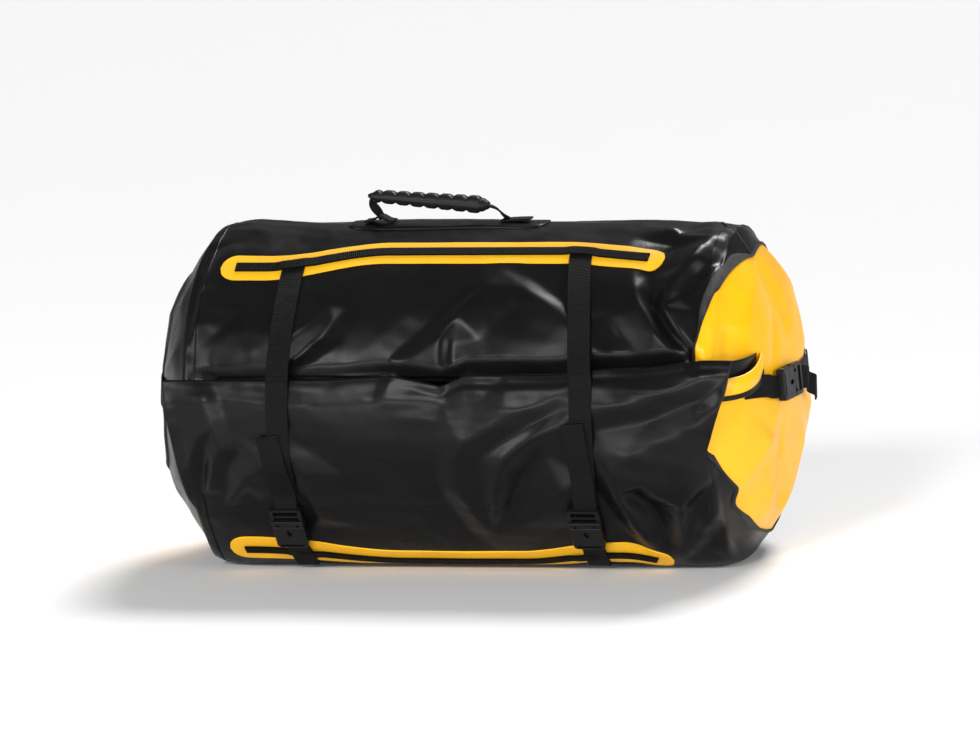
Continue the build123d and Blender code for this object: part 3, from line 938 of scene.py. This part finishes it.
def make_rail(which):
    """The webbing sewn along a strip, lifted where the compression straps pass under it."""
    x = np.linspace(STRIP_X - RAIL_HALF, STRIP_X + RAIL_HALF, 180)
    angle = strip_line(which, x) - np.degrees(0.6 / RADIUS)
    over_strap = sum(np.exp(-((np.abs(x - tied) / 16) ** 6)) for tied in (strap_x(s, 60) for s in SIDES))
    height = front_height(x, angle) + 2.3 + 1.5 * over_strap
    points = on_tube(x, angle, height)
    normals = on_tube(x, angle, height + 1) - points
    rail = ribbon("rail_webbing_" + which, points, normals, 12.5, 1.9, RAIL_WEB)
    place(rail, "webbing", "root", "lash_rail_" + which)


# ---------------------------------------------------------------- compression straps
STRAP_WIDTH = WEBBING - 1
STRAP_THICK = 1.6
STRAP_SHIFT = {"left": (5, 5, 1, 4), "right": (-9, 10, 2, 0)}  # along x, at the rail, crest, ladder, foot
STRAP_CUT = -22.5  # angle below which a strap is made as a separate end piece
TAIL_TOP = {"left": -4.0, "right": 0.0}  # angle of the free end's cut edge
TAIL_LEAN = {"left": 14.0, "right": 9.0}  # how far that edge lies to the left of the strap


def strap_x(side, angle):
    """Where a strap's middle line is along x."""
    rail, crest, ladder, foot = STRAP_SHIFT[side]
    return STRAP_X[side] + np.interp(angle, [-60, -40, 10, 60], [foot, ladder, crest, rail])


def strap_run(side, angles, clearance):
    """Stations of a strap that lies on the cloth, bridging its hollows."""
    angles = np.asarray(angles, float)
    x = strap_x(side, angles)
    height = np.max([front_height(x + d, angles) for d in (-9, 0, 9)], axis=0)
    return [(a, b, c) for a, b, c in zip(x, angles, height + clearance)]


def strap_piece(name, points, normals, thickness=STRAP_THICK):
    strap = ribbon(name, points, normals, STRAP_WIDTH, thickness, WEB)
    return strap


def strap_in_two(name, side, stations):
    """A strap over the closure's lower fold, made in two pieces: its upper part, and its end below
    STRAP_CUT.
    """
    points, normals, angles = along_tube(stations)
    cut = int(np.argmax(angles < STRAP_CUT))
    upper = strap_piece(name + "_" + side, points[:cut + 1], normals[:cut + 1])
    fold_with_closure(upper)
    tip = strap_piece(name + "_end_" + side, points[cut:], normals[cut:])
    tuple(on_tube(0, STRAP_CUT, 3))
    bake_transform(tip)
    return upper


def make_strap(side):
    """A compression strap from the upper rail over the closure to its buckle, and on to the lower rail."""
    clearance = 1.6
    crest = float(crest_angle(STRAP_X[side]))
    over = FLAP_LIFT + 4.0
    rail_angle = float(strip_line("upper", STRAP_X[side]))
    down = [rail_angle + 1.6, rail_angle, rail_angle - 3, rail_angle - 7, 44, 36, 29]
    stations = strap_run(side, down, clearance)
    stations.append((strap_x(side, crest + 1.5), crest + 1.2, over - 1.0))
    stations.append((strap_x(side, crest - 1), crest - 1.0, over + 0.4))
    points, normals, _ = along_tube(stations)
    upper = strap_piece("strap_upper_" + side, points, normals)
    behind, ahead = on_tube(STRAP_X[side], rail_angle - 8, 0), on_tube(STRAP_X[side], crest + 1, 12)
    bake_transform(upper)
    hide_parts("compression_strap_" + side)

    front = strap_run(side, [crest - 4, 4, -4, -12, -20, -26], clearance)
    stations = [(strap_x(side, crest - 0.6), crest - 0.6, over + 0.4)] + front
    stations += [(strap_x(side, -30), -30.0, 3.0), (strap_x(side, -34), -33.4, 3.4)]
    strap_in_two("strap_lower", side, stations)

    tail = strap_run(side, [TAIL_TOP[side], -8, -12, -16, -20, -26], clearance + 2.2)
    tail = [(x - TAIL_LEAN[side] * ((angle + 30) / 30) ** 1.5, angle, height) for x, angle, height in tail]
    tail += [(strap_x(side, -30), -29.5, 8.6), (strap_x(side, -31), -31.5, 9.4)]
    free = strap_in_two("strap_tail_web", side, tail)
    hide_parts("strap_tail_" + side)

    foot = [(strap_x(side, -46.8), -46.9, 8.2), (strap_x(side, -50), -50.5, 7.4),
            (strap_x(side, -55), -55.0, 5.2), (strap_x(side, -58), -58.0, 4.8),
            (strap_x(side, -62), -61.5, 4.6)]
    floor = strap_run(side, [station[1] for station in foot], 2.6)
    foot = [(x, angle, max(height, low[2])) for (x, angle, height), low in zip(foot, floor)]
    points, normals, _ = along_tube(foot)
    doubled = strap_piece("strap_foot_" + side, points, normals, 2 * STRAP_THICK)
    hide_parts("lower_web_" + side)
    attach(doubled, "root")


# ---------------------------------------------------------------- straps and lips of the ends
END_TILT = radians(4.1)


def on_dome(side, turn, lift, up=0.0):
    """The point, in metres, at an angle round an end's strap line, a height above the dome, and upwards."""
    t = np.radians(np.asarray(turn, float))
    reach = DOME_RADIUS + np.asarray(lift, float)
    out, back = reach * np.cos(t), reach * np.sin(t)
    x = DOME_MIDDLE + out * cos(END_TILT) - up * sin(END_TILT)
    z = AXIS_HEIGHT + out * sin(END_TILT) + up * cos(END_TILT)
    return np.stack(np.broadcast_arrays(SIDES[side] * x, back, z), -1) * MM


def dome_strap(name, side, stations, thickness=STRAP_THICK):
    """A strap across an end, through (turn, lift) or (turn, lift, up) stations."""
    path = round_corners([(*station, 0.0)[:3] for station in stations])
    gaps = np.hypot(np.diff(path[:, 0]) * DOME_DEGREE, np.diff(path[:, 1]))
    turn, lift, up = spread_evenly(path, gaps, 1.5)
    points = on_dome(side, turn, lift, up)
    return strap_piece(name, points, unit(on_dome(side, turn, lift + 1, up) - points), thickness)


def middle_turn(node):
    """Angle round the dome to the middle of a node."""
    low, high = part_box(node)
    x = (abs(low.x) + abs(high.x)) / 2 / MM - DOME_MIDDLE
    return np.degrees(np.arctan2((low.y + high.y) / 2 / MM, x))


def make_end_straps(side):
    """The strap from the end buckle's ladder to its patch, and its crumpled free end."""
    ladder = middle_turn("end_plug_" + side) + 0.8
    patch = middle_turn("end_patch_" + side)
    strap = dome_strap("end_strap_web_" + side, side, [
        (ladder - 1.2, 6.2), (ladder, 5.0), (ladder + 2, 3.6), (ladder + 5, 3.1),
        (patch - 5, 3.1), (patch - 3.6, 4.2), (patch + 2.6, 4.4)])
    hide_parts("end_strap_" + side)
    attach(strap, "root")
    tail = dome_strap("end_tail_web_" + side, side, [
        (ladder - 1.4, 9.6), (ladder + 0.6, 8.6), (ladder + 3.0, 8.2), (ladder + 5.4, 15.0, -3),
        (ladder + 7.0, 9.0, -9), (ladder + 8.6, 18.0, -15), (ladder + 11.0, 13.0, -21)])
    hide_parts("end_strap_tail_" + side)
    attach(tail, "end_buckle_" + side)


PATCH_HALF = 22  # half the side of an end strap's square patch
# The patch's section: inset from its edge, and height above the dome.
PATCH_STEPS = [(16, 2.5), (8, 2.6), (3.2, 2.6), (2.6, 1.8), (2.0, 2.5), (0.6, 2.2), (0.0, 0.9)]


def make_end_patch(side):
    """The welded patch that the end strap is sewn to, with a pressed line inside its edge."""
    columns = 96
    turn = middle_turn("end_patch_" + side)
    across, up = squarish_ring(columns, 6)
    rows = []
    for inset, lift in PATCH_STEPS:
        half = PATCH_HALF - inset
        rows.append(on_dome(side, turn + half * across / DOME_DEGREE, lift, half * up))
    faces = grid_faces(len(rows), columns, wrap=True) + [tuple(range(columns))]
    pad = new_object("end_patch_cloth_" + side, np.stack(rows), faces, BLACK, None, 60)
    orient(pad, side)
    thicken(pad, CLOTH)
    place(pad, "tarpaulin_black", "root", "end_patch_" + side)


def smooth_line(points, count):
    """A smooth line of that many points through the given ones."""
    points = np.array(points, float)
    length = np.concatenate([[0], np.cumsum(np.linalg.norm(np.diff(points, axis=0), axis=1))])
    even = np.linspace(0, length[-1], count)
    line = np.stack([np.interp(even, length, column) for column in points.T], -1)
    width = count // 8
    kernel = np.ones(2 * width + 1) / (2 * width + 1)
    for _ in range(3):
        before, after = 2 * line[:1] - line[width:0:-1], 2 * line[-1:] - line[-2:-2 - width:-1]
        padded = np.concatenate([before, line, after])
        line = np.stack([np.convolve(column, kernel, "valid") for column in padded.T], -1)
    return line


# The lip from the roll's right end back to the dome: x, y, and its lower and upper edge above the axis.
LIP = [(291, -177, 24, 43), (303, -173, 24, 43), (312, -162, 25, 44), (318, -147, 26, 46),
       (322, -130, 29, 49), (323, -115, 34, 54), (322, -100, 41, 60), (318, -87, 46, 62)]
LINING_TOP = 60.0  # above the axis


def lip_points(x, y, height):
    """Points in metres from places in millimetres, with the height above the axis."""
    return np.stack(np.broadcast_arrays(x, y, AXIS_HEIGHT + height), -1) * MM


def make_lip():
    """The yellow inner layer of the roll, which leads out of its right end and back to the yellow panel."""
    columns, rows = 60, 15
    x, y, low, high = smooth_line(LIP, columns).T
    share = np.linspace(0, 1, rows)[:, None]
    bulge = 2.5 * np.sin(pi * share)
    points = lip_points(x + bulge, y - 0.5 * bulge, low + (high - low) * share)
    lip = new_object("roll_lip_right", points, grid_faces(rows, columns), YELLOW, None, 60)
    thicken(lip, 1.6, 0.0)

    outwards = np.tile([1.0, -1.0, 0.0], (columns, 1))
    edge = lip_points(x + 1.2, y - 1.2, low - 1.0)
    border = ribbon("roll_lip_border_right", edge, outwards, 5.0, 2.6, BLACK)

    inset, bottom = 5, low + 6
    points = lip_points(x - inset, y + inset, bottom + (LINING_TOP - bottom) * share)
    lining = new_object("roll_lining_right", points, grid_faces(rows, columns), BLACK, None, 60)
    thicken(lining, 1.2, 0.0)
    for piece in (lip, border, lining):
        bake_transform(piece)


def make_tab(side):
    """The webbing from the roll's end to the end buckle."""
    socket = middle_turn("end_socket_" + side)
    if side == "right":
        stations = [(-26, 3.0, 8), (-23, 5.5, 7), (-19, 7.0, 4), (socket - 5, 6.5)]
    else:
        stations = [(-37.0, 2.0), (-35, 5.0), (-32, 7.5), (-28, 8.0), (-24, 6.0), (-18, 3.4), (-8, 3.0),
                    (socket - 6, 3.4)]
    stations += [(socket - 2.0, 6.4), (socket - 0.6, 7.0)]
    tab = dome_strap("end_tab_web_" + side, side, stations, 2.2)
    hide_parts("closure_end_tab_" + side)
    back, front = on_dome(side, -18, 6), on_dome(side, -26, 9)
    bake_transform(tab)


# ---------------------------------------------------------------- carry handle
GRIP_TURN = radians(4.9)


def make_grip():
    """The moulded grip: pointed ends, raised ribs above and below, and a smooth rail along either side."""
    low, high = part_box("handle_grip")
    middle, length = (low + high) / 2, (high.x - low.x) / MM + 6
    rows, columns = 240, 48
    share = np.linspace(-1, 1, rows)
    around = np.linspace(0, 2 * pi, columns, endpoint=False)
    from_tip = 1 - np.abs(share)
    taper = np.clip(from_tip / 0.16, 0, 1) ** 0.55
    body_high = (5.6 + 1.5 * share) * (0.35 + 0.65 * taper)
    body_wide = (9.0 + 0.6 * share) * (0.30 + 0.70 * taper)
    phase = (share * 0.5 + 0.5) * 8.6
    rib = np.clip(1.35 * np.abs(np.sin(pi * phase)) ** 0.5 - 0.2, 0, 1) * between(from_tip, 0.04, 0.16)
    c, s = np.cos(around), np.sin(around)
    rib_high = 2.6 * rib[:, None] * np.clip(np.abs(s) * 1.9 - 0.8, 0, 1)
    wide = np.sign(c) * np.abs(c) ** 0.75 * body_wide[:, None]
    tall = np.sign(s) * np.abs(s) ** 0.75 * (body_high[:, None] + rib_high)
    along = (share * length / 2)[:, None]
    x = along * cos(GRIP_TURN) + tall * sin(GRIP_TURN)
    z = -along * sin(GRIP_TURN) + tall * cos(GRIP_TURN)
    placed = np.stack([x, wide, z], -1) * MM + np.array(middle)
    faces = grid_faces(rows, columns, wrap=True)
    faces += [tuple(range(columns)), tuple((rows - 1) * columns + k for k in range(columns))[::-1]]
    grip = new_object("grip", placed, faces, RUBBER, None, 50)
    place(grip, "grip", "handle", "handle_grip")
    return middle / MM, length


def make_handle_web(middle, length):
    """The webbing uprights: narrow and twisted on the left, flat and slanting on the right."""
    half = length / 2
    tips = [(middle[0] + s * half * cos(GRIP_TURN), middle[2] - s * half * sin(GRIP_TURN)) for s in (-1, 1)]
    anchors = {side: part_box("handle_anchor_" + side) for side in SIDES}
    left_x = sum(p.x for p in anchors["left"]) / 2 / MM
    right_x = anchors["right"][0].x / MM
    foot_z = anchors["left"][1].z / MM + 4
    (lx, lz), (rx, rz) = tips
    left_line = [(lx + 14, lz + 0.5), (lx + 3, lz), (lx + 1, lz - 5), (lx + 5, lz - 12),
                 (left_x + 0.5, foot_z + 3), (left_x + 2, foot_z - 2)]
    right_line = [(rx - 14, rz + 1), (rx - 1, rz), (rx + 7, rz - 2), (rx + 14, rz - 9),
                  (right_x - 2, foot_z), (right_x + 6, foot_z - 2.5)]
    uprights = {"left": (left_line, 9.5, radians(150)), "right": (right_line, 14.0, radians(24))}
    for side, (line, width, twist) in uprights.items():
        path = smooth_line([(x, 0, z) for x, z in line], 60) * MM
        flat = np.cross(unit(np.gradient(path, axis=0)), np.array([0, 1, 0]))
        turn = twist * smooth(np.linspace(-0.25, 1.1, len(path)))[:, None]
        normal = flat * np.cos(turn) + np.array([0, 1, 0]) * np.sin(turn)
        web = ribbon("handle_webbing_" + side, path, normal, width, 2.0, WEB)
        if side == "left":
            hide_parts("handle_web")
        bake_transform(web)


def make_handle_feet():
    """The sewn-down ends of the webbing: a lumpy folded one on the left, a flat one on the right."""
    for side in SIDES:
        low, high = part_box("handle_anchor_" + side)
        low, high = low / MM, high / MM
        x0, x1 = low.x - 2, high.x + 2
        count = 40
        x = np.linspace(x0, x1, count)
        share = (x - x0) / (x1 - x0)
        lump = 5.0 * np.exp(-(((share - 0.52) / 0.22) ** 2)) if side == "left" else 0.6 * np.sin(3 * share)
        z = high.z + 0.4 + lump + (1.2 * share**2 if side == "right" else 0)
        points = np.stack([x, np.zeros(count), z], -1) * MM
        normals = np.tile([0.0, 0.0, 1.0], (count, 1))
        foot = ribbon("handle_foot_" + side, points, normals, high.y - low.y - 1, 2.2, WEB)
        place(foot, "webbing", "root", "handle_anchor_" + side)


def make_handle_patch():
    """The welded base of the handle, with a pressed line round its edge."""
    middle, half_long = span("handle_patch")
    half_wide, columns = 28.0, 160
    along, across = squarish_ring(columns, 5)
    shares = (0.02, 0.25, 0.5, 0.72, 0.86, 0.895, 0.91, 0.925, 0.95, 0.975, 0.995, 1.0)
    lifts = (2.0, 2.0, 2.0, 2.0, 1.9, 1.7, 1.0, 1.7, 1.9, 1.8, 1.2, 0.2)
    rows = []
    for share, lift in zip(shares, lifts):
        inset = (1 - share) * half_wide
        x = middle + (half_long - inset) * along
        angle = 90 + np.degrees((half_wide - inset) * across / RADIUS)
        rows.append(on_tube(x, angle, relief(x, angle) + lift))
    faces = grid_faces(len(rows), columns, wrap=True) + [tuple(range(columns))[::-1]]
    patch = new_object("handle_base", np.stack(rows), faces, BLACK, None, 60)
    place(patch, "tarpaulin_black", "root", "handle_patch")


# ---------------------------------------------------------------- stage, light and camera
def area_light(name, position, target, size, power):
    light = bpy.data.lights.new(name, "AREA")
    light.shape = "RECTANGLE"
    light.size, light.size_y = size
    light.energy = power
    obj = link_new(name, light)
    obj.location = position
    obj.rotation_euler = (Vector(target) - Vector(position)).to_track_quat("-Z", "Y").to_euler()


def seen_from(azimuth, elevation):
    """The direction towards an elevation and an azimuth: 0 is straight in front, and 90 is the right."""
    a, e = radians(azimuth), radians(elevation)
    return Vector((sin(a) * cos(e), -cos(a) * cos(e), sin(e)))


def sun(name, azimuth, elevation, power, spread):
    """A broad soft light from that direction."""
    light = bpy.data.lights.new(name, "SUN")
    light.energy = power
    light.angle = radians(spread)
    link_new(name, light).rotation_euler = seen_from(azimuth, elevation).to_track_quat("Z", "Y").to_euler()


def make_stage():
    half, level = 60.0, -0.0005
    corners = [(x * half, y * half, level) for x, y in ((-1, -1), (1, -1), (1, 1), (-1, 1))]
    new_object("floor", corners, [(0, 1, 2, 3)], paper_look())
    world = bpy.data.worlds.new("studio")
    world.use_nodes = True
    background = world.node_tree.nodes["Background"]
    background.inputs["Color"].default_value = (1, 1, 1, 1)
    background.inputs["Strength"].default_value = 0.16
    bpy.context.scene.world = world
    sun("top", 165, 50, 2.9, 20)
    sun("key", -8, 28, 1.2, 10)
    area_light("front", (0.1, -1.9, 0.16), (0, -0.2, 0.12), (1.6, 0.24), 14)
    area_light("right", (2.1, -1.2, 0.7), (0.2, 0, 0.2), (0.5, 0.9), 22)
    area_light("left", (-1.9, -1.6, 0.8), (-0.2, 0, 0.2), (0.5, 0.9), 22)


def paper_look():
    look = Look("paper", gray(0.88), 0.85)
    look.vary_roughness(look.noise(80, 2), 0.8, 0.9)
    return look.material


def make_camera():
    """A long-lens camera a little to the right of the sack and above it, turned slightly on its axis."""
    distance, roll = 8.0, radians(2.24)
    view_width = 1.0388
    right_shift, up_shift = 0.0053, 0.02703
    camera = bpy.data.cameras.new("camera")
    camera.lens = camera.sensor_width * distance / view_width
    camera.clip_end = 60
    back = seen_from(14, 9)
    turn = back.to_track_quat("Z", "Y").to_matrix() @ Matrix.Rotation(-roll, 3, "Z")
    aim = Vector((0, 0, AXIS_HEIGHT * MM)) + turn @ Vector((right_shift, up_shift, 0))
    obj = link_new("camera", camera)
    obj.matrix_world = Matrix.Translation(aim + back * distance) @ turn.to_4x4()
    bpy.context.scene.camera = obj
    bpy.context.scene.view_settings.view_transform = "Standard"


make_camera()
make_stage()
make_tube()
make_flap()
make_roll()
for side in SIDES:
    make_yellow_panel(side)
    make_black_margin(side)
    make_end_flange(side)
    make_strap(side)
    make_end_straps(side)
    make_end_patch(side)
    make_tab(side)
make_hem()
make_corner_seam_painted_highlight()
make_lip()
make_handle_web(*make_grip())
make_handle_feet()
make_handle_patch()
for which in ("upper", "lower"):
    make_strip(which)
    make_rail(which)

finishes = {"tarpaulin_black": BLACK, "tarpaulin_yellow": YELLOW, "yellow_strip": STRIP_YELLOW,
            "scrim_tape": SCRIM, "webbing": WEB, "grip": RUBBER, "buckle": PLASTIC, "stiffener": STIFFENER}
for part in frame["record"]["subparts"]:
    node = frame["nodes"][part["node"]]
    node.data.materials.clear()
    node.data.materials.append(finishes[part["material_slot"]])
